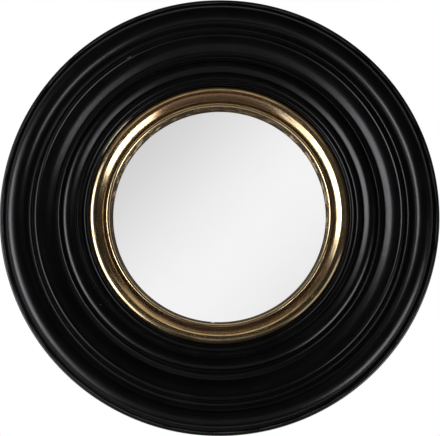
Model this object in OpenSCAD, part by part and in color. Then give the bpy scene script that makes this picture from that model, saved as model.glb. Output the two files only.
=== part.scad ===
// Round wall mirror: a turned black frame, a gilded inner slip, a flat mirror plate and its back fittings.
// The part stands upright as it hangs. The wall is the plane y = 0 and the mirror faces -Y.
// Every piece is drawn lying on the wall, with its height measured from the wall, and then turned upright.

/* [Glass] */
// Diameter of the mirror plate
glass_d = 250; // [220:1:280]
// Thickness of the mirror plate
glass_t = 4; // [3:0.5:6]
// Radial gap between the plate and the rebate of the slip
glass_gap = 1.5; // [1:0.1:2.5]
// Thickness of the felt ring in front of the plate
felt_t = 0.6; // [0.4:0.1:1.5]
// Width of the felt ring in front of the plate
felt_w = 3; // [2:0.1:3.4]
// Thickness of the foam ring behind the plate
packing_t = 2; // [1.5:0.1:4]
// Width of the foam ring behind the plate
packing_w = 8; // [5:0.5:14]
// Length of a cork spacer along the plate's edge
spacer_l = 18; // [10:1:30]
// Number of cork spacers
spacer_n = 4; // [3:1:8]
// Gap left on each side of a cork spacer
spacer_fit = 0.05; // [0.02:0.01:0.1]

/* [Gilded slip] */
// How far the lip of the slip covers the edge of the plate
lip_cover = 4.1; // [3.5:0.1:6]
// Height of the small square edge of the lip, next to the plate
lip_edge_h = 0.9; // [0.5:0.1:1.5]
// How far the splayed wall of the lip leans outward
lip_splay = 2.7; // [2:0.1:4]
// Rise of the lip's nose above its seat on the felt
nose_rise = 12.9; // [11:0.1:14]
// Width of the lip's nose
nose_w = 0.8; // [0.6:0.1:1.2]
// Width of the quirk outside the nose
nose_quirk_w = 0.5; // [0.4:0.1:1]
// Depth of the quirk outside the nose
nose_quirk_d = 2.9; // [1.5:0.1:3.5]
// Width of the narrow gilded bead
thin_bead_w = 4.8; // [4:0.1:6]
// Rise of the narrow gilded bead's crown
thin_bead_rise = 15.4; // [14:0.1:17]
// Width of the groove between the two gilded beads
gilt_groove_w = 1.6; // [1:0.1:3]
// Rise of that groove's floor
gilt_groove_rise = 7; // [6:0.1:9]
// Width of the big gilded bead's inner side
gilt_in_w = 10; // [9:0.1:11]
// Width of the big gilded bead's outer side
gilt_out_w = 6.3; // [5:0.1:7]
// Rise of the big gilded bead's crown
gilt_rise = 19.1; // [18:0.1:21]
// How far the slip's flange reaches past the gilded beads
flange_reach = 7; // [6.5:0.1:9]
// Thickness of the slip's flange
flange_t = 6; // [5:0.5:8]

/* [Inner beads of the frame] */
// Radial gap between the slip and the frame
joint_gap = 0.4; // [0.2:0.1:1]
// Rise of the bed between the inner beads
inner_bed_rise = 12.4; // [11:0.1:13]
// Width of the land at the joint
land_w = 0.2; // [0.1:0.1:0.6]
// Width of the first fine bead
bead_a_w = 2.8; // [2:0.1:3.4]
// Rise of the first fine bead's crown
bead_a_rise = 14.2; // [13.9:0.1:14.6]
// Width of the quirk after the first fine bead
quirk_a_w = 1; // [0.6:0.1:2]
// Width of the second fine bead
bead_b_w = 3; // [2.2:0.1:4]
// Rise of the second fine bead's crown
bead_b_rise = 14.4; // [14.1:0.1:14.8]
// Width of the quirk after the second fine bead
quirk_b_w = 1.1; // [0.6:0.1:2]
// Width of the third fine bead
bead_c_w = 4.6; // [4:0.1:6]
// Rise of the third fine bead's crown
bead_c_rise = 15.1; // [14.7:0.1:15.6]
// Width of the quirk after the third fine bead
quirk_c_w = 0.9; // [0.6:0.1:2]
// Width of the small fillet after that quirk
fillet_c_w = 1.8; // [1:0.1:3]
// Height of the small fillet above the bed
fillet_c_h = 0.8; // [0.4:0.1:1.2]
// Width of the side bead that leans on the middle bead
bead_d_w = 5.2; // [4.4:0.1:6]
// Rise of the side bead's crown
bead_d_rise = 15.2; // [14.6:0.1:15.6]
// How far the side bead is cut into by the middle bead
bead_d_lap = 1.4; // [1:0.1:2]
// Width of the middle bead
middle_bead_w = 10.6; // [9:0.1:13]
// Rise of the middle bead's crown
middle_bead_rise = 18.4; // [17.9:0.1:19.6]

/* [Ovolo of the frame] */
// Width of the quirk outside the middle bead
quirk_e_w = 2.6; // [2:0.1:4]
// Rise of the quirk outside the middle bead
quirk_e_rise = 10.4; // [9.8:0.1:10.8]
// Width of the fine bead in the hollow
bead_e_w = 4; // [3:0.1:5]
// Rise of the crown of the fine bead in the hollow
bead_e_rise = 12.4; // [12:0.1:12.9]
// Width of the hollow's floor
hollow_w = 3; // [2:0.1:5]
// Rise of the hollow's floor
hollow_rise = 8.4; // [7.6:0.1:9]
// Width of the step at the foot of the ovolo
step_w = 1.5; // [1:0.1:2.5]
// Height of the step at the foot of the ovolo
step_h = 1.2; // [0.6:0.1:2]
// Radius of the ovolo
ovolo_r = 9.5; // [8:0.1:10]
// Rise of the ovolo's flat top
ovolo_rise = 17.6; // [17:0.1:18.5]
// Width of the ovolo's flat top
ovolo_flat_w = 7.8; // [5:0.1:12]
// Width of the quirk outside the ovolo
quirk_f_w = 1.2; // [0.8:0.1:2]
// Depth of the quirk outside the ovolo
quirk_f_d = 1; // [0.6:0.1:2]
// Width of the square fillet
square_w = 3; // [2:0.1:4]
// Rise of the square fillet above the seat
square_rise = 18.4; // [17.6:0.1:19.4]
// Bevel on both edges of the square fillet
square_bevel = 0.4; // [0.2:0.1:0.8]

/* [Outer roll of the frame] */
// Width of the quirk outside the square fillet
quirk_g_w = 2.7; // [2:0.1:4]
// Rise of the floor on both sides of the outer fine bead
outer_bed_rise = 8.9; // [8.4:0.1:10]
// Width of the outer fine bead
bead_f_w = 3.6; // [2.8:0.1:5]
// Rise of the outer fine bead's crown
bead_f_rise = 13.4; // [12.6:0.1:14.4]
// Width of the quirk inside the big roll
quirk_h_w = 3.8; // [2.8:0.1:5]
// Width of the big outer roll
roll_w = 22; // [19:0.5:25]
// Rise of the big outer roll's crown
roll_rise = 17.9; // [17.4:0.1:20]
// Width of the quirk outside the big roll
quirk_i_w = 1.7; // [1.2:0.1:3]
// Width of the bead at the rim
rim_w = 5.8; // [4.8:0.1:7]
// Rise of the rim bead's widest point
rim_rise = 0.5; // [0.2:0.1:2]

/* [Back of the frame] */
// Depth of the recess for the fittings
recess_depth = 7.5; // [7:0.1:10]
// Width of the flat back land around the recess
back_land_w = 31; // [26:0.5:36]
// How far the back edge is set in from the rim
back_inset = 5; // [4:0.5:8]
// Bevel on the outer back edge
back_bevel = 1; // [0.5:0.1:2]
// Height of the straight edge below the rim bead
rim_edge_h = 1.6; // [1:0.1:3]
// Radial gap round the slip's flange
flange_gap = 0.5; // [0.3:0.1:1]
// Width of the ledge that carries the edge of the board
board_ledge_w = 3; // [2:0.1:5]
// Radial gap round the board
board_gap = 0.5; // [0.3:0.1:1]
// Thickness of the backing board
board_t = 4; // [3:0.5:6]

/* [Screws] */
// Gap between a screw and the wood round it
screw_fit = 0.05; // [0.02:0.01:0.1]
// Diameter of the slip screws
slip_screw_d = 3; // [2.5:0.1:3.5]
// Head diameter of the slip screws
slip_head_d = 5.6; // [5:0.1:6]
// Length of the slip screws
slip_screw_l = 12; // [9:0.5:15]
// Number of slip screws
slip_screw_n = 6; // [3:1:10]
// Diameter of the turn button screws
button_screw_d = 3.5; // [3:0.1:4]
// Head diameter of the turn button screws
button_head_d = 7; // [6.4:0.1:8]
// Head height of the turn button screws
button_head_h = 2.4; // [1.8:0.1:2.6]
// Length of the turn button screws under the head
button_screw_l = 13; // [10:0.5:15]
// Diameter of the strap screws
strap_screw_d = 3.5; // [3:0.1:4]
// Head diameter of the strap screws
strap_head_d = 6.4; // [6:0.1:7.4]
// Head height of the strap screws
strap_head_h = 2.2; // [1.6:0.1:2.6]
// Length of the strap screws under the head
strap_screw_l = 15; // [10:0.5:17]
// Width of the cross slot in a screw head
slot_w = 0.8; // [0.6:0.1:1]

/* [Turn buttons] */
// Number of turn buttons
button_n = 6; // [3:1:8]
// Width of a turn button
button_w = 10; // [9:0.5:12]
// Reach of a turn button from its screw to its tip
button_reach = 17; // [15:0.5:22]
// Thickness of a turn button
button_t = 1.8; // [1.2:0.1:2]
// Height of the pressed rib on a turn button
button_rib_h = 0.6; // [0.3:0.1:0.8]
// Width of the pressed rib on a turn button
button_rib_w = 2.4; // [1.5:0.1:3.5]
// Running gap under a turn button and under its screw head
button_play = 0.25; // [0.2:0.05:0.4]
// Radial running fit of a turn button on its screw
button_fit = 0.08; // [0.05:0.01:0.1]
// Distance from the edge of the board to the middle of the button screws
button_setback = 7.5; // [6:0.5:10]

/* [Hanger] */
// Diameter of the ring's wire
wire_d = 3; // [2.6:0.1:3.4]
// Width of the ring between the middles of its two sides
ring_w = 25; // [24:0.5:28]
// Drop of the ring from its hinge to the middle of its bow
ring_drop = 17; // [16.5:0.1:18]
// Bend radius of the ring's two corners
ring_corner_r = 2.5; // [2:0.1:3]
// Gap between the hanging ring and the strap it lies on
ring_rest_gap = 0.3; // [0.2:0.05:0.6]
// Radial running fit of the ring in the loop
ring_fit = 0.06; // [0.04:0.01:0.1]
// Space left above the ring when it is pulled up
ring_headroom = 3; // [2:0.5:6]
// Width of the strap
strap_w = 12; // [11:0.5:13]
// Length of the strap below the hinge
strap_l = 31; // [29:0.5:33]
// Thickness of the strap's sheet
strap_t = 1.2; // [1:0.1:1.4]
// Gap between the two leaves of the folded strap
leaf_gap = 0.2; // [0.1:0.05:0.3]
// Distance from the hinge to the upper strap screw
strap_screw_top = 8; // [7.5:0.1:9]
// Distance from the upper strap screw to the lower one
strap_screw_pitch = 17.5; // [16.5:0.1:18.5]

/* [Wall bumpers] */
// Number of wall bumpers
bumper_n = 4; // [3:1:8]
// Diameter of a wall bumper
bumper_d = 14; // [10:1:20]
// Thickness of a wall bumper
bumper_t = 2.5; // [1.5:0.5:4]
// Bevel on the edge of a wall bumper
bumper_bevel = 0.5; // [0.2:0.1:1]

/* [Hidden] */
$fn = 120;

// Room past a cut's end, so that a cut goes right through
cut = 1;

// Heights above the wall, from the back to the seat of the slip's lip
back_h = bumper_t;
floor_h = back_h + recess_depth;
ledge_h = floor_h + board_t;
glass_back_h = ledge_h + packing_t;
glass_front_h = glass_back_h + glass_t;
seat_h = glass_front_h + felt_t;
flange_front_h = ledge_h + flange_t;

// Radii of the glass and the gilded slip, from the inside out
glass_r = glass_d / 2;
rebate_r = glass_r + glass_gap;
sight_r = glass_r - lip_cover;
nose_in_r = sight_r + lip_splay;
nose_out_r = nose_in_r + nose_w;
thin_in_r = nose_out_r + nose_quirk_w;
thin_out_r = thin_in_r + thin_bead_w;
gilt_in_r = thin_out_r + gilt_groove_w;
gilt_crown_r = gilt_in_r + gilt_in_w;
slip_r = gilt_crown_r + gilt_out_w;
flange_r = slip_r + flange_reach;

// Radii of the frame's mouldings, from the inside out
frame_in_r = slip_r + joint_gap;
bead_a_r = frame_in_r + land_w + bead_a_w / 2;
bead_b_r = bead_a_r + bead_a_w / 2 + quirk_a_w + bead_b_w / 2;
bead_c_r = bead_b_r + bead_b_w / 2 + quirk_b_w + bead_c_w / 2;
fillet_c_r = bead_c_r + bead_c_w / 2 + quirk_c_w;
bead_d_r = fillet_c_r + fillet_c_w + bead_d_w / 2;
middle_bead_r = bead_d_r + bead_d_w / 2 - bead_d_lap + middle_bead_w / 2;
middle_out_r = middle_bead_r + middle_bead_w / 2;
bead_e_r = middle_out_r + quirk_e_w + bead_e_w / 2;
hollow_in_r = bead_e_r + bead_e_w / 2;
step_in_r = hollow_in_r + hollow_w;
ovolo_in_r = step_in_r + step_w;
ovolo_mid_r = ovolo_in_r + ovolo_r;
ovolo_out_r = ovolo_mid_r + ovolo_flat_w;
square_in_r = ovolo_out_r + quirk_f_w;
square_out_r = square_in_r + square_w;
bead_f_r = square_out_r + quirk_g_w + bead_f_w / 2;
roll_in_r = bead_f_r + bead_f_w / 2 + quirk_h_w;
roll_r = roll_in_r + roll_w / 2;
roll_out_r = roll_in_r + roll_w;
rim_in_r = roll_out_r + quirk_i_w;
rim_r = rim_in_r + rim_w / 2;
outer_r = rim_in_r + rim_w;

// Heights of the frame's mouldings above the wall
inner_bed_h = seat_h + inner_bed_rise;
rim_h = seat_h + rim_rise;
roll_h = seat_h + roll_rise - roll_w / 2;
outer_bed_h = seat_h + outer_bed_rise;
hollow_h = seat_h + hollow_rise;
quirk_e_h = seat_h + quirk_e_rise;
ovolo_top_h = seat_h + ovolo_rise;
square_top_h = seat_h + square_rise;

// Radii of the frame's back
flange_rebate_r = flange_r + flange_gap;
board_rebate_r = flange_rebate_r + board_ledge_w;
board_r = board_rebate_r - board_gap;
back_out_r = outer_r - back_inset;
recess_r = back_out_r - back_land_w;

// Places of the fittings
slip_screw_r = slip_r + flange_reach / 2;
button_r = board_r + button_setback;
button_face_h = floor_h - button_play;
button_seat_h = button_face_h - button_t - button_play;
bumper_r = recess_r + back_land_w / 2;
wire_r = wire_d / 2;
loop_bore_r = wire_r + ring_fit;
loop_out_r = loop_bore_r + strap_t;
hinge_h = floor_h - loop_out_r;
hinge_r = recess_r - ring_headroom - ring_drop - wire_r;
strap_back_h = floor_h - 2 * strap_t - leaf_gap;
ring_rest_h = strap_back_h - ring_rest_gap - wire_r;
ring_lean = asin((hinge_h - ring_rest_h) / ring_drop);
slip_head_h = (slip_head_d - slip_screw_d) / 2;

// Turns a piece that lies on the wall upright
module upright() {
    rotate([90, 0, 0]) children();
}

// Puts a piece at an angle round the mirror's axis, at a radius and a height
module around(angle, radius, height) {
    rotate([0, 0, angle]) translate([radius, 0, height]) children();
}

// A rectangle of a turned outline, between two radii and two heights
module band(r1, r2, h1, h2) {
    translate([r1, h1]) square([r2 - r1, h2 - h1]);
}

// A bead of a turned outline, round on top and straight below
module bead(radius, width, crown_h, foot_h) {
    middle_h = crown_h - width / 2;
    translate([radius, middle_h]) circle(d = width);
    if (foot_h < middle_h) band(radius - width / 2, radius + width / 2, foot_h, middle_h);
}

// A flat-bottomed ring between two radii and two heights
module flat_ring(r1, r2, h1, h2) {
    rotate_extrude() band(r1, r2, h1, h2);
}

// A wood screw that points towards the front, with the underside of its pan head at height 0
module pan_screw(shank_d, length, head_d, head_h) {
    tip_l = shank_d;
    edge_h = head_h / 2;
    difference() {
        union() {
            translate([0, 0, -edge_h]) cylinder(h = edge_h, d = head_d);
            translate([0, 0, -head_h]) cylinder(h = head_h - edge_h, d1 = head_d * 0.62, d2 = head_d);
            cylinder(h = length - tip_l, d = shank_d);
            translate([0, 0, length - tip_l]) cylinder(h = tip_l, d1 = shank_d, d2 = shank_d / 4);
        }
        cross_slot(head_d, -head_h, edge_h);
    }
}

// A wood screw that points towards the front, with its countersunk head flush at height 0
module flat_screw(shank_d, length, head_d, head_h) {
    tip_l = shank_d;
    difference() {
        union() {
            cylinder(h = head_h, d1 = head_d, d2 = shank_d);
            translate([0, 0, head_h]) cylinder(h = length - head_h - tip_l, d = shank_d);
            translate([0, 0, length - tip_l]) cylinder(h = tip_l, d1 = shank_d, d2 = shank_d / 4);
        }
        cross_slot(head_d, 0, head_h * 0.7);
    }
}

// The cut for the driver in a screw head that starts at a height
module cross_slot(head_d, height, depth) {
    slot_l = head_d / 2;
    for (turn = [0, 90]) rotate([0, 0, turn])
        translate([-slot_l / 2, -slot_w / 2, height - cut]) cube([slot_l, slot_w, depth + cut]);
}

// The hole that a screw of a given diameter and length makes in the wood
module pilot_hole(shank_d, length) {
    cylinder(h = length + screw_fit, r = shank_d / 2 + screw_fit);
}

module slip_screw_places() {
    for (i = [0:slip_screw_n - 1]) around((i + 0.5) * 360 / slip_screw_n, slip_screw_r, ledge_h) children();
}

module button_screw_places() {
    for (i = [0:button_n - 1]) around(i * 360 / button_n, button_r, button_seat_h) children();
}

module strap_screw_places() {
    for (y = [strap_screw_top, strap_screw_top + strap_screw_pitch])
        translate([0, hinge_r - y, strap_back_h]) children();
}

// The turned outline of the frame's front mouldings
module frame_mouldings() {
    bead(bead_a_r, bead_a_w, seat_h + bead_a_rise, inner_bed_h);
    bead(bead_b_r, bead_b_w, seat_h + bead_b_rise, inner_bed_h);
    bead(bead_c_r, bead_c_w, seat_h + bead_c_rise, inner_bed_h);
    band(fillet_c_r, fillet_c_r + fillet_c_w, inner_bed_h - cut, inner_bed_h + fillet_c_h);
    bead(bead_d_r, bead_d_w, seat_h + bead_d_rise, inner_bed_h);
    bead(middle_bead_r, middle_bead_w, seat_h + middle_bead_rise, quirk_e_h);
    bead(bead_e_r, bead_e_w, seat_h + bead_e_rise, hollow_h);
    band(step_in_r, ovolo_mid_r, hollow_h - cut, hollow_h + step_h);
    translate([ovolo_mid_r, ovolo_top_h - ovolo_r]) circle(r = ovolo_r);
    bead(bead_f_r, bead_f_w, seat_h + bead_f_rise, outer_bed_h);
    bead(roll_r, roll_w, roll_h + roll_w / 2, rim_h);
    translate([rim_r, rim_h]) circle(d = rim_w);
}

// The turned outline of the wood under the mouldings, with the rebates and the recess of the back
module frame_body() {
    polygon([
        [frame_in_r, flange_front_h],
        [flange_rebate_r, flange_front_h],
        [flange_rebate_r, ledge_h],
        [board_rebate_r, ledge_h],
        [board_rebate_r, floor_h],
        [recess_r, floor_h],
        [recess_r, back_h],
        [back_out_r - back_bevel, back_h],
        [back_out_r, back_h + back_bevel],
        [outer_r, rim_h - rim_edge_h],
        [outer_r, rim_h],
        [roll_r, rim_h],
        [roll_r, outer_bed_h],
        [square_out_r, outer_bed_h],
        [square_out_r, square_top_h - square_bevel],
        [square_out_r - square_bevel, square_top_h],
        [square_in_r + square_bevel, square_top_h],
        [square_in_r, square_top_h - square_bevel],
        [square_in_r, ovolo_top_h - quirk_f_d],
        [ovolo_out_r, ovolo_top_h - quirk_f_d],
        [ovolo_out_r, ovolo_top_h],
        [ovolo_mid_r, ovolo_top_h],
        [ovolo_mid_r, hollow_h],
        [hollow_in_r, hollow_h],
        [hollow_in_r - bead_e_w / 2, hollow_h],
        [hollow_in_r - bead_e_w / 2, quirk_e_h],
        [middle_bead_r, quirk_e_h],
        [middle_bead_r, inner_bed_h],
        [frame_in_r, inner_bed_h]
    ]);
}

// The turned outline of the gilded slip
module slip_outline() {
    groove_h = seat_h + gilt_groove_rise;
    nose_h = seat_h + nose_rise;
    quirk_h = nose_h - nose_quirk_d;
    thin_middle_h = seat_h + thin_bead_rise - thin_bead_w / 2;
    crown_h = seat_h + gilt_rise;
    polygon([
        [sight_r, seat_h],
        [rebate_r, seat_h],
        [rebate_r, ledge_h],
        [flange_r, ledge_h],
        [flange_r, flange_front_h],
        [slip_r, flange_front_h],
        [slip_r, crown_h - gilt_out_w],
        [gilt_crown_r, crown_h - gilt_out_w],
        [gilt_crown_r, crown_h - gilt_in_w],
        [gilt_in_r, crown_h - gilt_in_w],
        [gilt_in_r, groove_h],
        [thin_out_r, groove_h],
        [thin_out_r, thin_middle_h],
        [thin_in_r, thin_middle_h],
        [thin_in_r, quirk_h],
        [nose_out_r, quirk_h],
        [nose_out_r, nose_h],
        [nose_in_r + nose_w / 4, nose_h],
        [nose_in_r, nose_h - nose_w / 2],
        [sight_r, seat_h + lip_edge_h]
    ]);
    translate([thin_in_r + thin_bead_w / 2, thin_middle_h]) circle(d = thin_bead_w);
    translate([gilt_crown_r, crown_h - gilt_out_w]) circle(r = gilt_out_w);
    intersection() {
        translate([gilt_crown_r, crown_h - gilt_in_w]) circle(r = gilt_in_w);
        band(gilt_in_r - cut, gilt_crown_r, groove_h - cut, crown_h + cut);
    }
}

module frame_ring() {
    color("#17171a") upright() difference() {
        rotate_extrude() {
            frame_body();
            frame_mouldings();
        }
        slip_screw_places() pilot_hole(slip_screw_d, slip_screw_l);
        button_screw_places() pilot_hole(button_screw_d, button_screw_l);
        strap_screw_places() pilot_hole(strap_screw_d, strap_screw_l);
    }
}

module gilt_slip() {
    color("#b8913f") upright() difference() {
        rotate_extrude() slip_outline();
        slip_screw_places() pilot_hole(slip_screw_d, slip_screw_l);
        slip_screw_places() translate([0, 0, -screw_fit])
            cylinder(h = slip_head_h + screw_fit, d1 = slip_head_d + 4 * screw_fit, d2 = slip_screw_d + 2 * screw_fit);
    }
}

module mirror_glass() {
    color("#d9dcde") upright() translate([0, 0, glass_back_h]) cylinder(h = glass_t, r = glass_r);
}

module front_felt() {
    color("#2b2b2b") upright() flat_ring(glass_r - felt_w, glass_r, glass_front_h, seat_h);
}

module packing_ring() {
    color("#6e6e6a") upright() flat_ring(glass_r - packing_w, glass_r, ledge_h, glass_back_h);
}

module backing_board() {
    color("#7a5a3a") upright() translate([0, 0, floor_h]) cylinder(h = board_t, r = board_r);
}

// A cork spacer between the plate's edge and the rebate
module edge_spacer(i) {
    span = spacer_l / glass_r * 180 / PI;
    color("#b98a5a") upright() rotate([0, 0, (i - 0.5) * 360 / spacer_n - span / 2])
        rotate_extrude(angle = span)
            band(glass_r + spacer_fit, rebate_r - spacer_fit, glass_back_h, glass_front_h);
}

module slip_screws() {
    color("#c8a24a") upright() slip_screw_places()
        flat_screw(slip_screw_d, slip_screw_l, slip_head_d, slip_head_h);
}

module turn_button_screws() {
    color("#b9bcc0") upright() button_screw_places()
        pan_screw(button_screw_d, button_screw_l, button_head_d, button_head_h);
}

// A turn button, with its arm over the edge of the board
module turn_button(i) {
    tip = button_w / 2 - button_reach;
    rib_from = button_head_d / 2 + button_rib_w;
    color("#a9adb2") upright() around((i - 1) * 360 / button_n, button_r, button_face_h - button_t)
        difference() {
            union() {
                cylinder(h = button_t, d = button_w);
                translate([tip, -button_w / 2, 0]) cube([-tip, button_w, button_t]);
                translate([tip, 0, 0]) cylinder(h = button_t, d = button_w);
                translate([tip, -button_rib_w / 2, -button_rib_h])
                    cube([-tip - rib_from, button_rib_w, button_rib_h + button_t / 2]);
            }
            translate([0, 0, -cut]) cylinder(h = button_t + 2 * cut, r = button_screw_d / 2 + button_fit);
        }
}

module hanger_strap() {
    color("#b0b4b8") upright() translate([0, hinge_r, 0]) difference() {
        union() {
            translate([-strap_w / 2, -strap_l, strap_back_h]) cube([strap_w, strap_l, floor_h - strap_back_h]);
            translate([-strap_w / 2, 0, hinge_h]) rotate([0, 90, 0]) cylinder(h = strap_w, r = loop_out_r);
        }
        translate([-strap_w / 2 - cut, 0, hinge_h]) rotate([0, 90, 0])
            cylinder(h = strap_w + 2 * cut, r = loop_bore_r);
        translate([-strap_w / 2 - cut, -strap_l - cut, strap_back_h + strap_t])
            cube([strap_w + 2 * cut, strap_l + cut - loop_out_r - strap_t, leaf_gap]);
        for (y = [strap_screw_top, strap_screw_top + strap_screw_pitch]) translate([0, -y, strap_back_h - cut])
            cylinder(h = floor_h - strap_back_h + 2 * cut, r = strap_screw_d / 2 + screw_fit);
    }
}

module hanger_screws() {
    color("#c4c7ca") upright() strap_screw_places()
        pan_screw(strap_screw_d, strap_screw_l, strap_head_d, strap_head_h);
}

// A bend of the ring's wire round a centre in the ring's plane
module wire_bend(centre, bend_r, from, span) {
    translate([centre[0], centre[1], 0]) rotate([0, 0, from])
        rotate_extrude(angle = span) translate([bend_r, 0]) circle(r = wire_r);
}

// The D ring, hanging from its hinge and leaning on the strap
module hanger_ring() {
    bow_r = ring_w / 2;
    corner_x = bow_r - ring_corner_r;
    bow_y = bow_r - ring_drop;
    color("#c0c3c6") upright() translate([0, hinge_r, hinge_h]) rotate([ring_lean, 0, 0]) {
        translate([-corner_x, 0, 0]) rotate([0, 90, 0]) cylinder(h = 2 * corner_x, r = wire_r);
        wire_bend([corner_x, -ring_corner_r], ring_corner_r, 0, 90);
        wire_bend([-corner_x, -ring_corner_r], ring_corner_r, 90, 90);
        for (x = [-bow_r, bow_r]) translate([x, bow_y, 0])
            rotate([-90, 0, 0]) cylinder(h = -ring_corner_r - bow_y, r = wire_r);
        wire_bend([0, bow_y], bow_r, 180, 180);
    }
}

module wall_bumper(i) {
    color("#3a3836") upright() around((i - 0.5) * 360 / bumper_n, bumper_r, 0) {
        cylinder(h = bumper_bevel, d1 = bumper_d - 2 * bumper_bevel, d2 = bumper_d);
        translate([0, 0, bumper_bevel]) cylinder(h = bumper_t - bumper_bevel, d = bumper_d);
    }
}

frame_ring();
gilt_slip();
mirror_glass();
front_felt();
packing_ring();
backing_board();
for (i = [1:spacer_n]) edge_spacer(i);
slip_screws();
turn_button_screws();
hanger_strap();
hanger_ring();
hanger_screws();
for (i = [1:button_n]) turn_button(i);
for (i = [1:bumper_n]) wall_bumper(i);
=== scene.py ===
# %% [markdown]
# # A round mirror in a turned black frame
#
# The mirror hangs on a wall. A wide black frame, turned on a lathe from wood, carries a gilded inner slip,
# and the slip holds a flat mirror plate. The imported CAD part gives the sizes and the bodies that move. This
# lesson builds the finer surfaces, the finishes and the light round it.

import math
import random

import bpy
import numpy as np
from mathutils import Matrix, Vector, kdtree


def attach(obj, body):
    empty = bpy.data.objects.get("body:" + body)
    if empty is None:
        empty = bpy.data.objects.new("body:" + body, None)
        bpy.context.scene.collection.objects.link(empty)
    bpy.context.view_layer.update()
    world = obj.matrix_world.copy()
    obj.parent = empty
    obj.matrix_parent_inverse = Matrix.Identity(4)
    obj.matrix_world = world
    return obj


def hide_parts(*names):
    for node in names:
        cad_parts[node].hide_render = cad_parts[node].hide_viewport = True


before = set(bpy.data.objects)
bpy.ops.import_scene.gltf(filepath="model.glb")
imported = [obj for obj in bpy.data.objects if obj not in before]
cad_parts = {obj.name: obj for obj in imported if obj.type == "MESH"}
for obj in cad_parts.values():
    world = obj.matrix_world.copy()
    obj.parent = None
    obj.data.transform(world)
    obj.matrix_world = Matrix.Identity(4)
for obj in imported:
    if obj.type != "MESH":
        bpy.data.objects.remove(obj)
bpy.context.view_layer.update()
random.seed(7)
MM = 0.001

# %% [markdown]
# ## Drawing an outline as a turner does
#
# A turned ring is one outline swept round an axis. The outline is written as (radius, height) pairs in
# millimetres, with the height measured from the wall. The front of the frame is a row of beads, bands and
# hollows, so its height at a radius is that of the highest form there. Lacquer and sanding soften every
# arris, and a short moving average along the outline does the same.


# %% Outline helpers
def bead_form(radius, width, crown):
    """A half-round bead: its reach and its height at a radius."""
    half = width / 2
    return (radius - half, radius + half, lambda r: crown - half + math.sqrt(max(0.0, half**2 - (r - radius) ** 2)))


def round_form(radius, curve, middle, low, high):
    """Part of a round moulding of a given curve, between two radii."""
    return (low, high, lambda r: middle + math.sqrt(max(0.0, curve**2 - (r - radius) ** 2)))


def flat_form(low, high, height):
    return (low, high, lambda r: height)


def slope_form(low, high, low_height, high_height):
    return (low, high, lambda r: low_height + (high_height - low_height) * (r - low) / (high - low))


HAIR, FORM_STEPS = 0.004, 60


def top_outline(forms, start, end):
    """The highest of the forms from one radius to another, with close pairs of points at each wall."""
    stops = set()
    for low, high, _ in forms:
        stops.update((low - HAIR, low + HAIR, high - HAIR, high + HAIR))
        for k in range(FORM_STEPS + 1):
            stops.add((low + high) / 2 - (high - low) / 2 * math.cos(math.pi * k / FORM_STEPS))
    stops = sorted(r for r in stops if start <= r <= end)
    points = []
    for r in [start, *stops, end]:
        heights = [height(r) for low, high, height in forms if low <= r <= high]
        if heights and (not points or math.dist(points[-1], (r, max(heights))) > HAIR / 2):
            points.append((r, max(heights)))
    return points


def even_steps(points, step):
    """The closed outline again, with a point at every step along it."""
    path = np.array([*points, points[0]])
    run = np.concatenate([[0], np.cumsum(np.hypot(*np.diff(path, axis=0).T))])
    where = np.linspace(0, run[-1], int(run[-1] / step), endpoint=False)
    return np.column_stack([np.interp(where, run, path[:, k]) for k in (0, 1)])


def averaged(path, reach, step):
    """A closed outline with each point averaged over its neighbours, bell-shaped."""
    count = int(3 * reach / step)
    weights = np.exp(-0.5 * (np.arange(-count, count + 1) * step / reach) ** 2)
    wrapped = np.vstack([path[-count:], path, path[:count]])
    return np.column_stack([np.convolve(wrapped[:, k], weights / weights.sum(), "valid") for k in (0, 1)])


SHARP_BEND, SLIGHT_BEND = math.radians(13), math.radians(3)
LONG_STEP, LONGEST_STEP = 1.2, 4


def softened(points, soft, broad=2.2, step=0.06):
    """The softened outline with few points where it runs straight, and how deep each point lies in a hollow."""
    path = averaged(even_steps(points, step), soft, step)
    ahead = np.roll(path, -1, 0) - np.roll(path, 1, 0)
    ahead /= np.maximum(np.hypot(*ahead.T), 1e-9)[:, None]
    offset = averaged(path, broad, step) - path
    hollow = offset[:, 0] * -ahead[:, 1] + offset[:, 1] * ahead[:, 0]
    turn = np.arctan2(ahead[:, 1], ahead[:, 0])
    kept, last, gone = [0], 0, 0.0
    for k in range(1, len(path)):
        gone += step
        bend = abs((turn[k] - turn[last] + math.pi) % (2 * math.pi) - math.pi)
        if bend > SHARP_BEND or (gone > LONG_STEP and bend > SLIGHT_BEND) or gone > LONGEST_STEP:
            kept.append(k)
            last, gone = k, 0.0
    return [tuple(path[k]) for k in kept], [float(hollow[k]) for k in kept]


# %% [markdown]
# ## Working with single vertices and spins
#
# With the mouse a turner's outline is drawn vertex by vertex with E and then spun. The same operators work
# from code: a plane is merged to one vertex, the vertex is extruded from point to point, and the spin
# operator turns the chain round the axis. Spun meshes can come out inside out, so the doubles are merged
# first and the normals are recalculated after that.


# %% Modelling helpers
def clear_selection():
    if bpy.context.object and bpy.context.object.mode != "OBJECT":
        bpy.ops.object.mode_set(mode="OBJECT")
    bpy.ops.object.select_all(action="DESELECT")


def chain(name, points):
    """A new object that is one chain of vertices, left in edit mode with everything selected."""
    clear_selection()
    bpy.ops.mesh.primitive_plane_add(size=MM, location=(0, 0, 0))
    piece = bpy.context.object
    piece.name = piece.data.name = name
    bpy.ops.object.mode_set(mode="EDIT")
    bpy.ops.mesh.select_all(action="SELECT")
    bpy.ops.mesh.merge(type="CENTER")
    bpy.ops.transform.translate(value=points[0])
    for here, there in zip(points, points[1:]):
        bpy.ops.mesh.extrude_vertices_move(TRANSFORM_OT_translate={"value": Vector(there) - Vector(here)})
    bpy.ops.mesh.select_all(action="SELECT")
    return piece


SAME_SPOT = 2e-6


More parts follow.
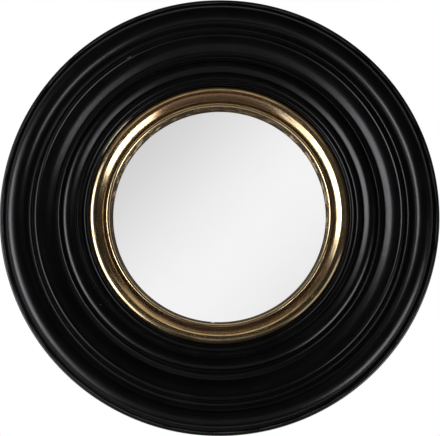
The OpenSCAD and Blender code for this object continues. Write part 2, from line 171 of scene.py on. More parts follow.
def close_up():
    """Merges doubles and points the faces outwards, in edit mode."""
    bpy.ops.mesh.select_all(action="SELECT")
    bpy.ops.mesh.remove_doubles(threshold=SAME_SPOT)
    bpy.ops.mesh.normals_make_consistent(inside=False)


def pick(piece):
    """Makes a piece the active object and the only one selected."""
    clear_selection()
    piece.select_set(True)
    bpy.context.view_layer.objects.active = piece


def smooth(piece, angle=None):
    pick(piece)
    if angle is None:
        bpy.ops.object.shade_smooth()
    else:
        bpy.ops.object.shade_smooth_by_angle(angle=math.radians(angle))


def turned(name, outline, steps, closed=True):
    """A closed outline of (radius, height) points, turned round the mirror's axis."""
    points = [(r * MM, -h * MM, 0) for r, h in outline]
    piece = chain(name, points + points[:1] if closed else points)
    bpy.ops.mesh.spin(steps=steps, angle=2 * math.pi, center=(0, 0, 0), axis=(0, 1, 0))
    close_up()
    smooth(piece)
    print(name, len(piece.data.vertices), "vertices,", len(piece.data.polygons), "faces")
    return piece


def mark_hollows(piece, outline, hollows, full=0.9):
    """Writes on each vertex how deep it lies in a hollow, from -1 on a crest to 1 in a groove."""
    tree = kdtree.KDTree(len(outline))
    for k, (r, h) in enumerate(outline):
        tree.insert((r, h, 0), k)
    tree.balance()
    values = []
    for vertex in piece.data.vertices:
        x, y, z = vertex.co
        _, k, _ = tree.find((math.hypot(x, z) / MM, -y / MM, 0))
        values.append(max(-1.0, min(1.0, hollows[k] / full)))
    mark = piece.data.attributes.new("hollow", "FLOAT", "POINT")
    mark.data.foreach_set("value", values)


def use_modifier(piece, kind, **settings):
    pick(piece)
    modifier = piece.modifiers.new(kind.title(), kind)
    for key, value in settings.items():
        setattr(modifier, key, value)
    bpy.ops.object.modifier_apply(modifier=modifier.name)


def place(piece, location=(0, 0, 0), turn=(0, 0, 0)):
    """Moves and turns a piece, and then puts the place into its mesh."""
    pick(piece)
    piece.location, piece.rotation_euler = location, turn
    bpy.ops.object.transform_apply(location=True, rotation=True, scale=True)


def copy_of(piece, name):
    twin = piece.copy()
    twin.data = piece.data.copy()
    twin.name = twin.data.name = name
    bpy.context.scene.collection.objects.link(twin)
    return twin


def join(pieces, name):
    clear_selection()
    for piece in pieces:
        piece.select_set(True)
    bpy.context.view_layer.objects.active = pieces[0]
    bpy.ops.object.join()
    pieces[0].name = pieces[0].data.name = name
    return pieces[0]


def dress(piece, body, nodes, materials):
    """Gives a finished piece its finish and its body, and hides the CAD nodes that it stands for."""
    piece.data.materials.clear()
    for material in materials:
        piece.data.materials.append(material)
    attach(piece, body)
    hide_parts(*nodes)


# %% [markdown]
# ## Finishes from nodes
#
# A finish is a small tree of nodes. With the mouse each node is added and wired by hand. These helpers add
# one, set or link its inputs and hand on its output, so that a finish reads as a list of steps.


# %% Node helpers
def new_group(name, inputs, outputs):
    group = bpy.data.node_groups.new(name, "ShaderNodeTree")
    for label, kind, value in inputs:
        socket = group.interface.new_socket(label, in_out="INPUT", socket_type=kind)
        if value is not None:
            socket.default_value = value
    for label, kind in outputs:
        group.interface.new_socket(label, in_out="OUTPUT", socket_type=kind)
    return group, group.nodes.new("NodeGroupInput"), group.nodes.new("NodeGroupOutput")


def math_node(tree, operation, first, second=None, third=None, clamp=False):
    node = tree.nodes.new("ShaderNodeMath")
    node.operation, node.use_clamp = operation, clamp
    for socket, value in zip(node.inputs, (first, second, third)):
        if isinstance(value, bpy.types.NodeSocket):
            tree.links.new(value, socket)
        elif value is not None:
            socket.default_value = value
    return node.outputs[0]


def times(tree, first, second):
    return math_node(tree, "MULTIPLY", first, second)


def node_with(tree, kind, links=None, **values):
    """A new node, with its inputs linked or set by name."""
    node = tree.nodes.new(kind)
    for key, value in values.items():
        if key in node.inputs:
            node.inputs[key].default_value = value
        else:
            setattr(node, key, value)
    for key, value in (links or {}).items():
        tree.links.new(value, node.inputs[key])
    return node


def mix_colours(tree, share, first, second):
    """The first colour where the share is 0 and the second where it is 1."""
    node = tree.nodes.new("ShaderNodeMix")
    node.data_type = "RGBA"
    for socket, value in zip((node.inputs[0], node.inputs[6], node.inputs[7]), (share, first, second)):
        if isinstance(value, bpy.types.NodeSocket):
            tree.links.new(value, socket)
        else:
            socket.default_value = value
    return node.outputs[2]


def stretch(tree, value, low, high, to_low=0.0, to_high=1.0):
    """A value spread from one range to another, smoothly and clamped."""
    node = tree.nodes.new("ShaderNodeMapRange")
    node.interpolation_type = "SMOOTHSTEP"
    tree.links.new(value, node.inputs[0])
    for socket, number in zip(node.inputs[1:5], (low, high, to_low, to_high)):
        socket.default_value = number
    return node.outputs[0]


def wander(tree, noise, reach, value):
    """A value that a noise moves up and down, by up to half the reach each way."""
    return math_node(tree, "MULTIPLY_ADD", math_node(tree, "SUBTRACT", noise, 0.5), reach, value)


def noise_at(tree, where, scale, detail, roughness=0.5):
    noise = node_with(
        tree, "ShaderNodeTexNoise", {"Vector": where}, Scale=scale, Detail=detail, Roughness=roughness
    )
    return noise.outputs["Fac"]


# %% [markdown]
# ## Coordinates that follow a ring
#
# Brush marks, leaf cracks and tool lines run round a turned ring. A noise that is read at (x/r, z/r, r - y)
# runs round without a seam: the first two numbers change along the ring and the third across it. This
# group is placed in each finish of a ring, with its own two scales.


# %% Ring coordinates
ring_group, group_in, group_out = new_group(
    "ring_coordinates",
    [("Around", "NodeSocketFloat", 10.0), ("Across", "NodeSocketFloat", 500.0)],
    [("Vector", "NodeSocketVector"), ("Radius", "NodeSocketFloat")],
)
spot = node_with(ring_group, "ShaderNodeTexCoord")
parts = node_with(ring_group, "ShaderNodeSeparateXYZ", {"Vector": spot.outputs["Object"]})
x, y, z = parts.outputs
radius = math_node(ring_group, "SQRT", math_node(ring_group, "ADD", times(ring_group, x, x), times(ring_group, z, z)))
safe = math_node(ring_group, "MAXIMUM", radius, 1e-5)
along = [times(ring_group, math_node(ring_group, "DIVIDE", part, safe), group_in.outputs[0]) for part in (x, z)]
across = times(ring_group, math_node(ring_group, "SUBTRACT", radius, y), group_in.outputs[1])
vector = node_with(ring_group, "ShaderNodeCombineXYZ", {"X": along[0], "Y": along[1], "Z": across})
ring_group.links.new(vector.outputs[0], group_out.inputs[0])
ring_group.links.new(radius, group_out.inputs[1])


def ring_noise(tree, around, across, detail=3.0, roughness=0.5):
    """Noise that runs round the mirror's axis."""
    coordinates = node_with(tree, "ShaderNodeGroup", node_tree=ring_group, Around=around, Across=across)
    return noise_at(tree, coordinates.outputs[0], 1.0, detail, roughness)


def even_noise(tree, scale, detail=3.0, roughness=0.5):
    """Noise of one size in all directions."""
    return noise_at(tree, node_with(tree, "ShaderNodeTexCoord").outputs["Object"], scale, detail, roughness)


def new_material(name, **values):
    material = bpy.data.materials.new(name)
    material.use_nodes = True
    shader = material.node_tree.nodes["Principled BSDF"]
    for key, value in values.items():
        shader.inputs[key].default_value = value
    return material, material.node_tree, shader


def bump(tree, shader, height, depth, strength=1.0, below=None):
    links = {"Height": height}
    if below is not None:
        links["Normal"] = below
    node = node_with(tree, "ShaderNodeBump", links, Strength=strength, Distance=depth)
    tree.links.new(node.outputs[0], shader.inputs["Normal"])
    return node.outputs[0]


# %% [markdown]
# ## Places on a ring
#
# Wear and tone differ from one side of a ring to the other. They could be painted on a UV map, but two
# masks say the same in numbers: one by the angle round the axis and one by the radius, with soft or ragged
# edges.


# %% Places on a ring
def ring_place(tree):
    """The unit direction round the axis (two numbers) and the radius in metres."""
    coordinates = node_with(tree, "ShaderNodeGroup", node_tree=ring_group, Around=1.0)
    parts = node_with(tree, "ShaderNodeSeparateXYZ", {"Vector": coordinates.outputs[0]})
    return parts.outputs[0], parts.outputs[1], coordinates.outputs["Radius"]


def near_angle(tree, degrees, wide, soft):
    """1 within an angle of a direction and 0 outside it, with a soft edge."""
    cos_at, sin_at, _ = ring_place(tree)
    a = math.radians(degrees)
    facing = math_node(tree, "MULTIPLY_ADD", cos_at, math.cos(a), times(tree, sin_at, math.sin(a)))
    return stretch(tree, facing, math.cos(math.radians(wide + soft)), math.cos(math.radians(max(0.0, wide - soft))))


def near_radius(tree, middle, half, soft, wobble):
    """1 within a distance of a radius and 0 outside it, in millimetres. A noise moves the edges by 1 mm."""
    radius = wander(tree, wobble, 2 * MM, ring_place(tree)[2])
    off = math_node(tree, "ABSOLUTE", math_node(tree, "SUBTRACT", radius, middle * MM))
    return stretch(tree, off, (half + soft) * MM, max(0.0, half - soft) * MM)


# %% [markdown]
# ## Black lacquer
#
# The frame is sprayed with several coats of black and rubbed down to a satin sheen. The colour stays near
# black everywhere and the form shows only in the sheen, so the roughness carries the detail: it wanders a
# little, rises in the grooves where no cloth reaches, and the surface has a faint orange peel. The crests
# are a little lighter, and a thin broken grey line is painted along the rim bead as its highlight. Three
# small nicks show, and a smear of gold from the slip lies on an inner bead.


# %% Black lacquer
NICKS = ((119.6, 0.5, 207.6, 0.5), (217.5, 0.12, 168.6, 0.8), (346.2, 0.1, 191.5, 0.9))
black_lacquer, tree, shader = new_material("black_lacquer", IOR=1.5)
# The sheen is tinted a little blue as painted light, for the cool light of the softboxes.
shader.inputs["Specular Tint"].default_value = (0.96, 0.95, 1.0, 1)
hollow = node_with(tree, "ShaderNodeAttribute", attribute_name="hollow").outputs["Fac"]
groove = stretch(tree, hollow, 0.15, 0.8)
crest = stretch(tree, hollow, -0.1, -0.7)
cloudy = even_noise(tree, 26.0, 4.0, 0.6)
rubbed = ring_noise(tree, 9.0, 260.0, 4.0, 0.6)
specks = stretch(tree, even_noise(tree, 900.0, 1.0), 0.74, 0.8)
tone = mix_colours(tree, stretch(tree, cloudy, 0.35, 0.7), (0.0007, 0.0007, 0.0008, 1), (0.0014, 0.0014, 0.0016, 1))
# The crests are a little lighter.
lighter_crests = times(tree, crest, stretch(tree, rubbed, 0.5, 0.75, 0, 0.5))
tone = mix_colours(tree, lighter_crests, tone, (0.007, 0.0068, 0.0066, 1))
# A thin broken grey line is painted along the rim bead as its highlight.
rim_highlight = times(tree, near_radius(tree, 246.7, 0.6, 0.5, rubbed), stretch(tree, rubbed, 0.3, 0.62))
tone = mix_colours(tree, rim_highlight, tone, (0.05, 0.049, 0.052, 1))
tone = mix_colours(tree, times(tree, specks, 0.5), tone, (0.03, 0.028, 0.027, 1))
for angle, wide, middle, half in NICKS:
    nick = times(tree, near_angle(tree, angle, wide, wide * 0.8), near_radius(tree, middle, half, 0.5, rubbed))
    tone = mix_colours(tree, times(tree, nick, 0.8), tone, (0.1, 0.095, 0.09, 1))
ragged = ring_noise(tree, 60.0, 900.0, 4.0, 0.65)
smear = times(tree, near_angle(tree, 142.5, 6.5, 6.5), near_radius(tree, 149.7, 0.7, 0.5, ragged))
smear = stretch(tree, wander(tree, ragged, 1.2, smear), 0.3, 0.7)
tone = mix_colours(tree, smear, tone, (0.85, 0.72, 0.5, 1))
tree.links.new(tone, shader.inputs["Base Color"])
tree.links.new(times(tree, smear, 0.3), shader.inputs["Metallic"])
sheen = stretch(tree, rubbed, 0.3, 0.75, 0.28, 0.35)
sheen = math_node(tree, "ADD", sheen, times(tree, groove, 0.3))
tree.links.new(sheen, shader.inputs["Roughness"])
shader.inputs["Specular IOR Level"].default_value = 0.46
peel = bump(tree, shader, even_noise(tree, 420.0, 2.0), 0.00006)
bump(tree, shader, cloudy, 0.0006, 0.5, peel)
print("black_lacquer made")

# %% [markdown]
# ## Worn gold leaf
#
# The slip is gilded over red-brown clay, called bole, and toned with a dark glaze. Leaf is metal, so its
# colour is in the reflection, and a thin varnish over it gives the white highlights. The glaze stays in the
# grooves. Other changes round the ring are painted light and shade: the outer flank is painted dark as
# shade except on the left, where the lamp lights it, patches of painted shade lie on the crown and, in the
# colour of the clay, on the inner slope between the highlights, a copper tint is painted at the top as a
# warm reflection, and the lip is blotchy and painted pale on the two sides where its highlights fall. Fine
# cracks run round the ring where the leaf was laid.
#
# Any metal turns white at a grazing angle, and the old lip doesn't, so the lip has its own copy of the
# finish, with a dark edge colour.

# %% Patterns of the leaf
gold_leaf, tree, shader = new_material("gold_leaf")
hollow = node_with(tree, "ShaderNodeAttribute", attribute_name="hollow").outputs["Fac"]
streaks = ring_noise(tree, 1.6, 1100.0, 4.0, 0.6)
clouds = ring_noise(tree, 4.0, 200.0, 4.0, 0.6)
grain = even_noise(tree, 1500.0, 3.0, 0.6)
coordinates = node_with(tree, "ShaderNodeGroup", node_tree=ring_group, Around=12.0, Across=480.0)
cells = node_with(
    tree, "ShaderNodeTexVoronoi", {"Vector": coordinates.outputs[0]}, feature="DISTANCE_TO_EDGE", Scale=1.0
)
cracks = times(tree, stretch(tree, cells.outputs["Distance"], 0.08, 0.0), stretch(tree, clouds, 0.5, 0.7))
uneven = times(tree, math_node(tree, "SUBTRACT", streaks, 0.5), 0.9)
groove = stretch(tree, math_node(tree, "ADD", hollow, uneven), 0.0, 0.5)
flank = math_node(tree, "ADD", ring_place(tree)[2], times(tree, uneven, 0.002))
# The outer flank is painted dark as shade all round, except on the left side, where the lamp lights it.
lit_flank_side = near_angle(tree, 193, 52, 8)
flank_shade = times(tree, stretch(tree, flank, 0.1418, 0.1445), math_node(tree, "SUBTRACT", 1.0, lit_flank_side))
lip = stretch(tree, flank, 0.1244, 0.1232)
blotches = ring_noise(tree, 10.0, 120.0, 3.0, 0.65)
print("leaf patterns made")

# %% Colours of the leaf
BROWN, BOLE = (0.13, 0.082, 0.038, 1), (0.26, 0.135, 0.072, 1)
# Patches of painted shade between the highlights: brown ones on the crown's sides and at the left of the inner slope,
# and ones in the colour of the clay at the top and bottom of the inner slope.
PAINTED_SHADE_PATCHES = (
    (191, 26, 138.0, 3.6, 0.6, BROWN), (318, 24, 141.0, 2.4, 0.6, BROWN),
    (271, 64, 131.8, 2.6, 0.8, BOLE), (93, 36, 133.2, 3.0, 0.75, BOLE), (190, 40, 131.6, 2.2, 0.8, BROWN),
)
leaf = mix_colours(tree, stretch(tree, clouds, 0.35, 0.7), (0.93, 0.71, 0.39, 1), (0.57, 0.4, 0.19, 1))
leaf = mix_colours(tree, stretch(tree, streaks, 0.46, 0.66, 0, 0.9), leaf, (0.17, 0.1, 0.045, 1))
leaf = mix_colours(tree, times(tree, groove, 0.85), leaf, (0.15, 0.085, 0.05, 1))
# A copper tint is painted at the top of the crown as a warm reflection.
warm = times(tree, near_angle(tree, 97, 29, 9), near_radius(tree, 139.0, 3.2, 1.4, streaks))
leaf = mix_colours(tree, times(tree, warm, 0.8), leaf, (0.62, 0.31, 0.15, 1))
# Painted shade on the outer flank.
leaf = mix_colours(tree, times(tree, flank_shade, 0.92), leaf, (0.028, 0.018, 0.012, 1))
# The lip is painted pale on the two sides where its highlights fall, and dark elsewhere, as painted light and shade.
lip_lit_sides = math_node(tree, "MAXIMUM", near_angle(tree, 22, 34, 12), near_angle(tree, 146, 24, 12))
lip_painted_light = mix_colours(tree, lip_lit_sides, (0.11, 0.075, 0.04, 1), (0.5, 0.42, 0.27, 1))
leaf = mix_colours(tree, times(tree, lip, 0.85), leaf, lip_painted_light)
leaf = mix_colours(tree, times(tree, lip, stretch(tree, blotches, 0.4, 0.52, 0, 0.9)), leaf, (0.045, 0.03, 0.018, 1))
# Each patch darkens the leaf as painted shade.
for angle, wide, middle, half, share, tone in PAINTED_SHADE_PATCHES:
    shade_patch = times(tree, near_angle(tree, angle, wide, 14), near_radius(tree, middle, half, 1.2, streaks))
    leaf = mix_colours(tree, times(tree, shade_patch, share), leaf, tone)
leaf = mix_colours(tree, cracks, leaf, (0.03, 0.014, 0.008, 1))
tree.links.new(leaf, shader.inputs["Base Color"])
print("leaf colours made")

# %% Gloss of the leaf
# The metal is less where the leaf is bare in grooves and cracks, and on the painted shade of the outer flank.
bare_and_shaded = math_node(tree, "MAXIMUM", times(tree, groove, 0.6), times(tree, cracks, 0.9))
bare_and_shaded = math_node(tree, "MAXIMUM", bare_and_shaded, times(tree, flank_shade, 0.3))
metal = math_node(tree, "MULTIPLY_ADD", bare_and_shaded, -0.6, 0.97)
tree.links.new(math_node(tree, "MULTIPLY_ADD", lip, -0.2, metal, clamp=True), shader.inputs["Metallic"])
dull = stretch(tree, streaks, 0.3, 0.8, 0.15, 0.27)
tree.links.new(math_node(tree, "ADD", dull, times(tree, groove, 0.2)), shader.inputs["Roughness"])
uncoated = math_node(tree, "MAXIMUM", times(tree, warm, 0.7), math_node(tree, "MAXIMUM", lip, flank_shade))
tree.links.new(math_node(tree, "SUBTRACT", 1.0, uncoated), shader.inputs["Coat Weight"])
shader.inputs["Coat Roughness"].default_value = 0.16
shader.inputs["Coat IOR"].default_value = 1.7
fine = bump(tree, shader, grain, 0.000012)
laid = bump(tree, shader, streaks, 0.00005, 0.6, fine)
bump(tree, shader, math_node(tree, "SUBTRACT", 1.0, cracks), 0.00015, 0.8, laid)
print("gold_leaf made")

# %% The lip's own finish
gilt_lip = gold_leaf.copy()
gilt_lip.name = "gilt_lip"
shader = gilt_lip.node_tree.nodes["Principled BSDF"]
shader.inputs["Specular Tint"].default_value = (0.16, 0.11, 0.06, 1)
shader.inputs["Specular IOR Level"].default_value = 0.15
print("gilt_lip made")

# %% [markdown]
# ## Mirror plate
#
# Seen from the front the plate is its silver: a smooth metal with no colour of its own. Its edge is ground
# glass, and its back is painted grey to protect the silver.

# %% Mirror plate finishes
mirror_silver, tree, shader = new_material("mirror_silver", Metallic=1.0)
haze = stretch(tree, even_noise(tree, 9.0, 5.0, 0.6), 0.4, 0.8)
tree.links.new(mix_colours(tree, haze, (0.94, 0.94, 0.94, 1), (0.92, 0.92, 0.92, 1)), shader.inputs["Base Color"])
tree.links.new(math_node(tree, "MULTIPLY_ADD", haze, 0.012, 0.008), shader.inputs["Roughness"])
mirror_back, tree, shader = new_material("mirror_back")
coat = stretch(tree, even_noise(tree, 60.0, 4.0), 0.3, 0.7)
tree.links.new(mix_colours(tree, coat, (0.2, 0.22, 0.22, 1), (0.27, 0.29, 0.28, 1)), shader.inputs["Base Color"])
tree.links.new(math_node(tree, "MULTIPLY_ADD", coat, 0.15, 0.5), shader.inputs["Roughness"])
print("mirror plate finishes made")

# %% [markdown]
# ## Bare wood at the back
#
# A wide ring can't be cut from one board, because it would warp. It is glued up from eight straight
# boards, so the grain runs straight in each and breaks at the joints. The noise is read in coordinates
# that are turned to each board, and a thin dark line marks each glue joint. A fine mist of black spray
# reaches a little way in from the edge.

# %% Ring wood
BOARDS = 8


def board_coordinates(tree):
    """The place on each board, turned so that the grain runs along Z, and the distance to the next joint."""
    spot = node_with(tree, "ShaderNodeTexCoord")
    parts = node_with(tree, "ShaderNodeSeparateXYZ", {"Vector": spot.outputs["Object"]})
    angle = math_node(tree, "ARCTAN2", parts.outputs[2], parts.outputs[0])
    turns = times(tree, angle, BOARDS / (2 * math.pi))
    board = math_node(tree, "ROUND", turns)
    joint = math_node(tree, "SUBTRACT", 0.5, math_node(tree, "ABSOLUTE", math_node(tree, "SUBTRACT", turns, board)))
    back = {"Vector": spot.outputs["Object"], "Angle": times(tree, board, 2 * math.pi / BOARDS)}
    turned_back = node_with(tree, "ShaderNodeVectorRotate", back, rotation_type="Y_AXIS")
    steps = {axis: times(tree, board, step) for axis, step in (("X", 1.7), ("Y", 0.9), ("Z", 2.3))}
    shift = node_with(tree, "ShaderNodeCombineXYZ", steps)
    moved = node_with(tree, "ShaderNodeVectorMath", {0: turned_back.outputs[0], 1: shift.outputs[0]}, operation="ADD")
    return moved.outputs[0], joint


ring_wood, tree, shader = new_material("ring_wood", Roughness=0.62)
where, joint = board_coordinates(tree)
long = node_with(tree, "ShaderNodeMapping", {"Vector": where})
long.inputs["Scale"].default_value = (1.0, 1.0, 0.09)
along = {"Vector": long.outputs[0]}
rings = node_with(tree, "ShaderNodeTexWave", along, Scale=42.0, Distortion=9.0, Detail=3.0, wave_profile="SAW")
rings.inputs["Detail Scale"].default_value = 1.2
fibres = noise_at(tree, long.outputs[0], 1100.0, 4.0)
wood = mix_colours(tree, stretch(tree, rings.outputs["Fac"], 0.1, 1.0), (0.5, 0.34, 0.19, 1), (0.36, 0.215, 0.11, 1))
wood = mix_colours(tree, stretch(tree, fibres, 0.45, 0.7, 0, 0.5), wood, (0.24, 0.14, 0.07, 1))
wood = mix_colours(tree, stretch(tree, joint, 0.004, 0.0015), wood, (0.09, 0.05, 0.03, 1))
ragged = wander(tree, ring_noise(tree, 3.0, 30.0, 3.0), 0.012, ring_place(tree)[2])
mist = wander(tree, even_noise(tree, 1300.0, 2.0), 0.9, stretch(tree, ragged, 0.229, 0.244))
spray = stretch(tree, mist, 0.3, 0.8)
wood = mix_colours(tree, spray, wood, (0.006, 0.006, 0.0065, 1))
tree.links.new(wood, shader.inputs["Base Color"])
tree.links.new(math_node(tree, "MULTIPLY_ADD", spray, -0.2, 0.64), shader.inputs["Roughness"])
bump(tree, shader, fibres, 0.00012, 0.6)
print("ring_wood made")

# %% [markdown]
# ## Hardboard, felt, foam and cork
#
# The board behind the plate is brown hardboard: wood fibre pressed smooth, so its tone is a fine felted
# mottle with a few dark flecks. Felt, foam and cork are only seen when the mirror is taken apart, but each
# still gets its own grain.


# %% Soft and pressed finishes
def mottled(name, pale, dark, scale, rough, depth, flecks=None, detail=4.0):
    """A dull material with a grain of one size, and flecks of another tone where they are asked for."""
    material, tree, shader = new_material(name)
    grain = even_noise(tree, scale, detail, 0.6)
    broad = even_noise(tree, scale / 30, 3.0)
    tone = mix_colours(tree, stretch(tree, grain, 0.3, 0.7), dark, pale)
    tone = mix_colours(tree, stretch(tree, broad, 0.3, 0.7, 0.0, 0.3), tone, dark)
    if flecks:
        tone = mix_colours(tree, stretch(tree, even_noise(tree, scale * 0.4, 2.0), 0.62, 0.7, 0, 0.8), tone, flecks)
    tree.links.new(tone, shader.inputs["Base Color"])
    tree.links.new(stretch(tree, grain, 0.2, 0.8, rough - 0.08, min(1.0, rough + 0.08)), shader.inputs["Roughness"])
    bump(tree, shader, grain, depth, 0.8)
    return material


hardboard = mottled(
    "hardboard", (0.21, 0.12, 0.062, 1), (0.13, 0.07, 0.036, 1), 700.0, 0.55, 0.00008, (0.07, 0.037, 0.02, 1)
)
felt = mottled("felt", (0.05, 0.05, 0.052, 1), (0.018, 0.018, 0.019, 1), 1800.0, 0.92, 0.0003)
foam = mottled("foam", (0.2, 0.2, 0.19, 1), (0.1, 0.1, 0.095, 1), 1400.0, 0.85, 0.0003)
cork = mottled("cork", (0.5, 0.31, 0.16, 1), (0.3, 0.17, 0.08, 1), 500.0, 0.8, 0.0003, (0.1, 0.05, 0.025, 1))
print("hardboard, felt, foam and cork made")

# %% [markdown]
# ## Zinc and brass
#
# The hanger, the turn buttons and their screws are zinc-plated steel, and the slip's screws are brass.
# Plated sheet shows faint patches of different sheen, and rubbing brings fine scratches, so both the tone
# and the roughness wander.


# %% Plated metals
def plated(name, pale, dark, rough, scale):
    material, tree, shader = new_material(name, Metallic=1.0)
    patches = even_noise(tree, scale, 4.0, 0.6)
    scratches = even_noise(tree, 2500.0, 2.0)
    tree.links.new(mix_colours(tree, stretch(tree, patches, 0.3, 0.7), dark, pale), shader.inputs["Base Color"])
    sheen = stretch(tree, patches, 0.3, 0.75, rough - 0.07, rough + 0.1)
    sheen = math_node(tree, "ADD", sheen, stretch(tree, scratches, 0.55, 0.75, 0.0, 0.12))
    tree.links.new(sheen, shader.inputs["Roughness"])
    bump(tree, shader, patches, 0.00008, 0.4)
    return material


zinc_sheet = plated("zinc_sheet", (0.62, 0.63, 0.64, 1), (0.42, 0.43, 0.45, 1), 0.34, 160.0)
zinc_wire = plated("zinc_wire", (0.66, 0.67, 0.68, 1), (0.5, 0.51, 0.52, 1), 0.26, 220.0)
zinc_screw = plated("zinc_screw", (0.66, 0.66, 0.63, 1), (0.46, 0.46, 0.43, 1), 0.28, 420.0)
brass_screw = plated("brass_screw", (0.75, 0.56, 0.26, 1), (0.5, 0.35, 0.15, 1), 0.3, 420.0)
print("plated metals made")

# %% [markdown]
# ## The frame
#
# On the real frame every line is cut with a gouge or a scraper while the ring turns. The list below gives
# the mouldings from the inside out. They are those of the CAD part, drawn finer: most of the small beads
# have one long slope and one steep side, as a scraper leaves them. The back of the outline is a plain
# polygon: a recess for the fittings, two rebates and a tapered edge. Its faces are left as bare wood.

# %% Turn the frame
frame_forms = [
    flat_form(148.0, 172.0, 34.3),
    slope_form(148.0, 149.1, 36.2, 37.0),
    flat_form(149.1, 149.7, 37.0),
    slope_form(150.5, 151.9, 35.9, 36.9),
    round_form(151.9, 1.2, 35.7, 151.9, 153.1),
    round_form(157.9, 2.6, 34.7, 155.3, 157.9),
    flat_form(157.9, 161.0, 37.3),
    flat_form(161.2, 163.2, 35.0),
    slope_form(163.4, 168.5, 34.9, 38.27),
    bead_form(172.0, 12.0, 39.4),
    flat_form(172.0, 180.0, 32.0),
    slope_form(179.9, 181.6, 34.3, 35.4),
    round_form(181.6, 1.2, 34.2, 181.6, 182.8),
    flat_form(180.0, 202.5, 30.6),
    slope_form(187.8, 193.1, 31.6, 35.1),
    round_form(202.5, 16.0, 22.2, 193.0, 202.5),
    flat_form(202.5, 206.2, 38.2),
    bead_form(207.4, 3.6, 39.2),
    flat_form(206.2, 214.8, 35.6),
    slope_form(210.3, 212.0, 35.7, 36.5),
    slope_form(212.8, 214.3, 36.2, 37.2),
    round_form(214.3, 0.8, 36.4, 214.3, 215.1),
    flat_form(214.8, 217.4, 32.6),
    slope_form(217.4, 222.6, 33.0, 33.9),
    round_form(231.5, 11.0, 27.5, 220.9, 242.3),
    flat_form(231.5, 250.0, 23.4),
    round_form(247.4, 2.6, 23.4, 244.8, 250.0),
]
frame_back = [
    (250.0, 19.5), (245.0, 3.5), (244.0, 2.5), (214.0, 2.5), (214.0, 10.0), (158.1, 10.0),
    (158.1, 14.0), (155.1, 14.0), (155.1, 20.0), (148.0, 20.0),
]
frame_line, frame_hollow = softened(top_outline(frame_forms, 148.0, 250.0) + frame_back, 0.2)
print("frame outline", len(frame_line), "points")
frame_ring = turned("frame_ring_turned", frame_line, 224)
mark_hollows(frame_ring, frame_line, frame_hollow)
dress(frame_ring, "mirror", ["frame_ring"], [black_lacquer, ring_wood])
WOOD_FRONT, WOOD_REACH = -0.0204, 0.2442
for face in frame_ring.data.polygons:
    if face.center.y > WOOD_FRONT and math.hypot(face.center.x, face.center.z) < WOOD_REACH:
        face.material_index = 1

# %% [markdown]
# ## The gilded slip
#
# The slip is a second, smaller ring. A splayed lip holds the plate, then come a nose, a narrow bead, a
# groove, and a straight slope up to a narrow crown that rounds off to the black frame. It is turned in the
# same way.

# %% Turn the slip
slip_forms = [
    slope_form(120.8, 121.8, 21.5, 26.2),
    slope_form(121.8, 122.3, 26.2, 26.8),
    slope_form(122.3, 123.4, 26.8, 33.0),
    flat_form(123.4, 124.3, 33.4),
    flat_form(124.3, 124.8, 30.8),
    bead_form(126.5, 4.0, 36.0),
    flat_form(128.5, 130.3, 28.4),
    slope_form(130.3, 130.8, 29.4, 33.0),
    slope_form(130.8, 137.5, 33.0, 38.8),
    round_form(139.8, 3.4, 36.3, 137.5, 139.8),
    flat_form(139.8, 140.9, 39.7),
    round_form(140.9, 6.4, 33.3, 140.9, 147.2),
    flat_form(147.2, 147.6, 33.2),
    flat_form(147.6, 154.6, 20.0),
]
slip_back = [(154.6, 14.0), (126.5, 14.0), (126.5, 20.6), (120.8, 20.6)]
slip_line, slip_hollow = softened(top_outline(slip_forms, 120.8, 154.6) + slip_back, 0.12)
print("slip outline", len(slip_line), "points")
gilt_slip = turned("gilt_slip_turned", slip_line, 256)
mark_hollows(gilt_slip, slip_line, slip_hollow, 0.7)
dress(gilt_slip, "mirror", ["gilt_slip"], [gold_leaf, gilt_lip])
LIP_EDGE = 123.8 * MM
for face in gilt_slip.data.polygons:
    if math.hypot(face.center.x, face.center.z) < LIP_EDGE:
        face.material_index = 1

# %% [markdown]
# ## The chip in the lip
#
# Under the leaf and the clay lies gesso, a hard white chalk ground. Where the lip was knocked, at the bottom
# and a little to the left, a flake has come off and the chalk shows. A rough lump is cut from the lip there,
# and the broken faces keep the lump's own finish.

# %% Chip the lip
chalk, tree, shader = new_material("chalk_ground", Roughness=0.85)
chalk_tone = mix_colours(tree, even_noise(tree, 900.0, 3.0), (0.93, 0.91, 0.87, 1), (0.78, 0.75, 0.69, 1))
tree.links.new(chalk_tone, shader.inputs["Base Color"])
bump(tree, shader, even_noise(tree, 1500.0, 3.0), 0.0001)
clear_selection()
bpy.ops.mesh.primitive_ico_sphere_add(subdivisions=3, radius=1.0)
lump = bpy.context.object
lump.name = "chip_lump"
bpy.ops.object.mode_set(mode="EDIT")
bpy.ops.mesh.select_all(action="SELECT")
bpy.ops.transform.resize(value=(2.9 * MM, 4.6 * MM, 2.1 * MM))
bpy.ops.transform.vertex_random(offset=0.2 * MM, seed=4)
bpy.ops.object.mode_set(mode="OBJECT")
lump.data.materials.append(chalk)
CHIP_R, CHIP_H, CHIP_ANGLE = 122.2 * MM, 30.0 * MM, 266.5
a = math.radians(CHIP_ANGLE)
place(lump, (CHIP_R * math.cos(a), -CHIP_H, CHIP_R * math.sin(a)), (0, 1.5 * math.pi - a, 0))
use_modifier(gilt_slip, "BOOLEAN", object=lump, operation="DIFFERENCE", solver="EXACT", material_mode="TRANSFER")
bpy.data.objects.remove(lump, do_unlink=True)
print("chipped slip", len(gilt_slip.data.polygons), "faces,", len(gilt_slip.data.materials), "finishes")

# %% [markdown]
# ## Plate and backing board
#
# Both are flat discs. A cut glass edge is never sharp: the glazier takes the arris off with a stone. So
# each disc is turned from an outline with small bevels, and the poles close when the doubles are merged.

